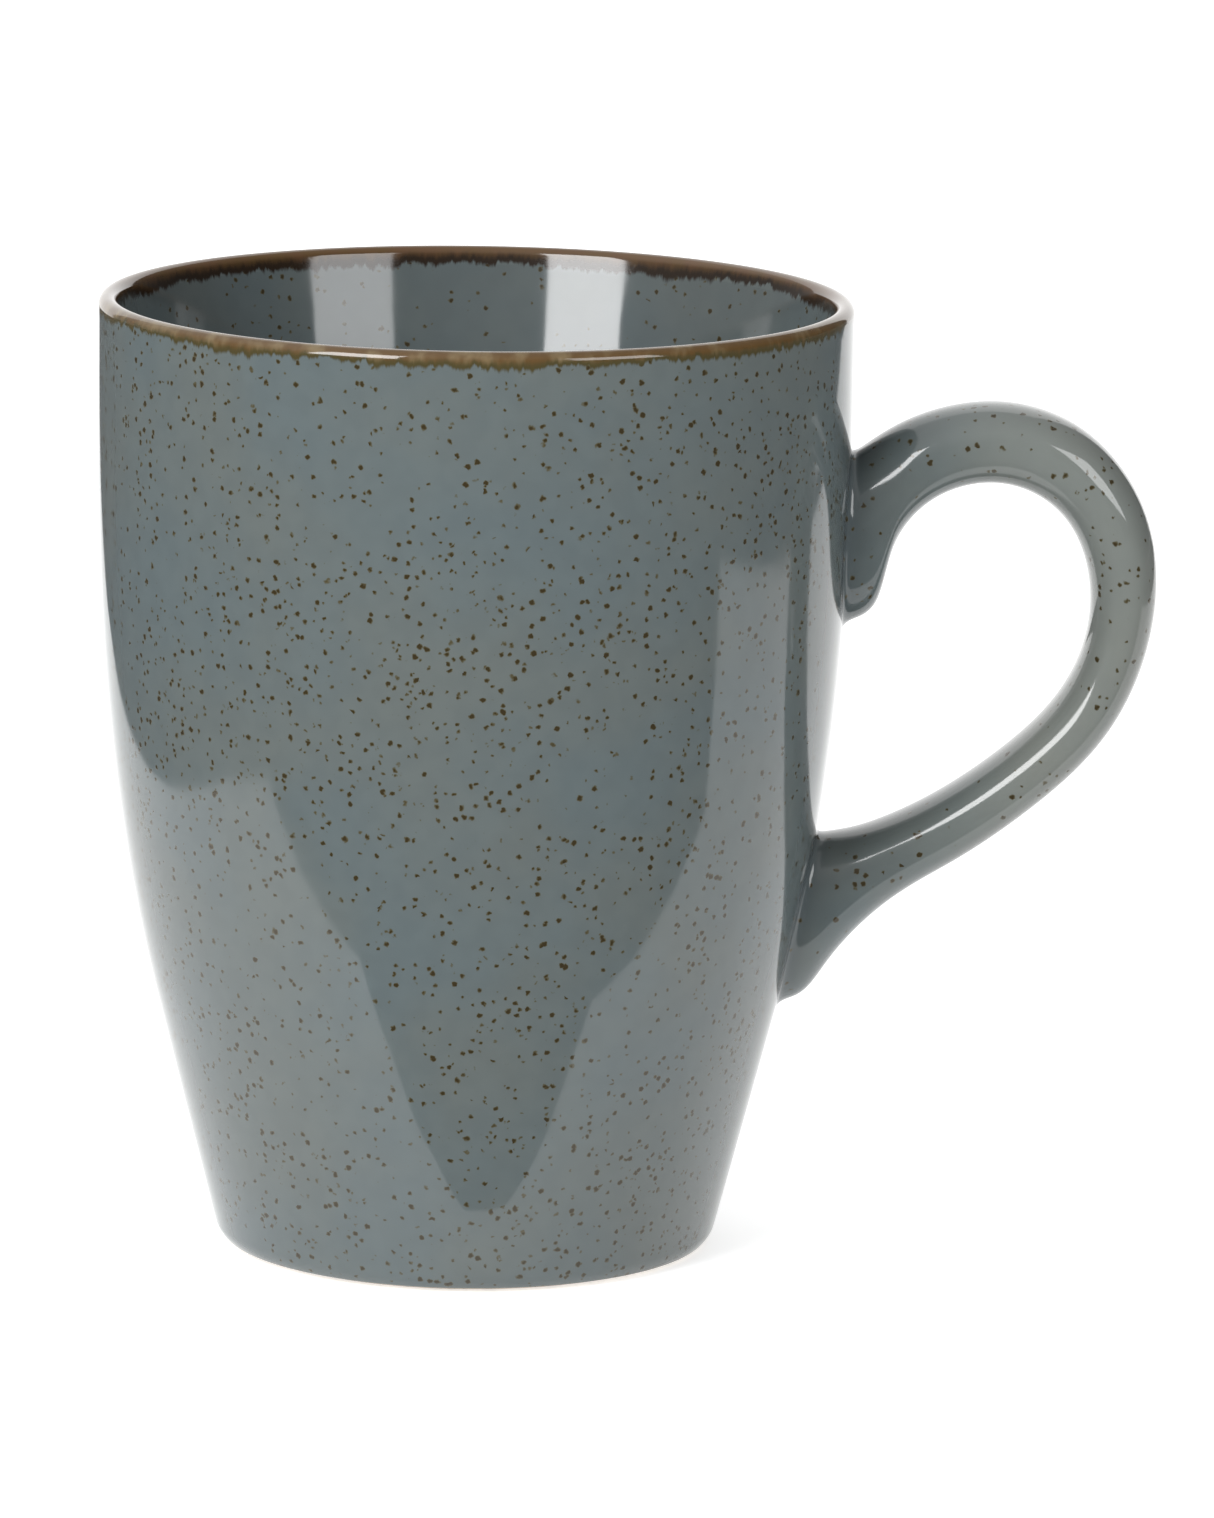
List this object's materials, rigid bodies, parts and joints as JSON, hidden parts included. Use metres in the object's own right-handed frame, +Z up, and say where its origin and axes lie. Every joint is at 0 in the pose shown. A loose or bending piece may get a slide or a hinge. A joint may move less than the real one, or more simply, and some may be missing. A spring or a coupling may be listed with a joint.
{
  "type": "mug",
  "caption": "Tall flared ceramic mug with round shoulders, one ear handle, speckled blue-grey glaze and a brown rim.",
  "frame": {"origin": "centre of the foot ring on the plane the mug stands on, on the vessel's axis", "axes": "+Z up along the vessel's axis, +X towards the handle, +Y away from a viewer who has the handle on the right"},
  "size_m": [0.1156, 0.082, 0.1046],
  "materials": {
    "bare_clay": "matte",
    "fired_slip": "matte",
    "speckled_glaze": "gloss",
    "inner_glaze": "gloss",
    "rim_glaze": "gloss"
  },
  "bodies": {
    "root": {"vessel_body": "bare_clay", "handle": "bare_clay", "upper_slip_joint": "fired_slip", "lower_slip_joint": "fired_slip", "outer_glaze": "speckled_glaze", "inner_glaze": "inner_glaze", "rim_band": "rim_glaze", "handle_glaze": "speckled_glaze", "base_glaze": "speckled_glaze"}
  },
  "joints": []
}
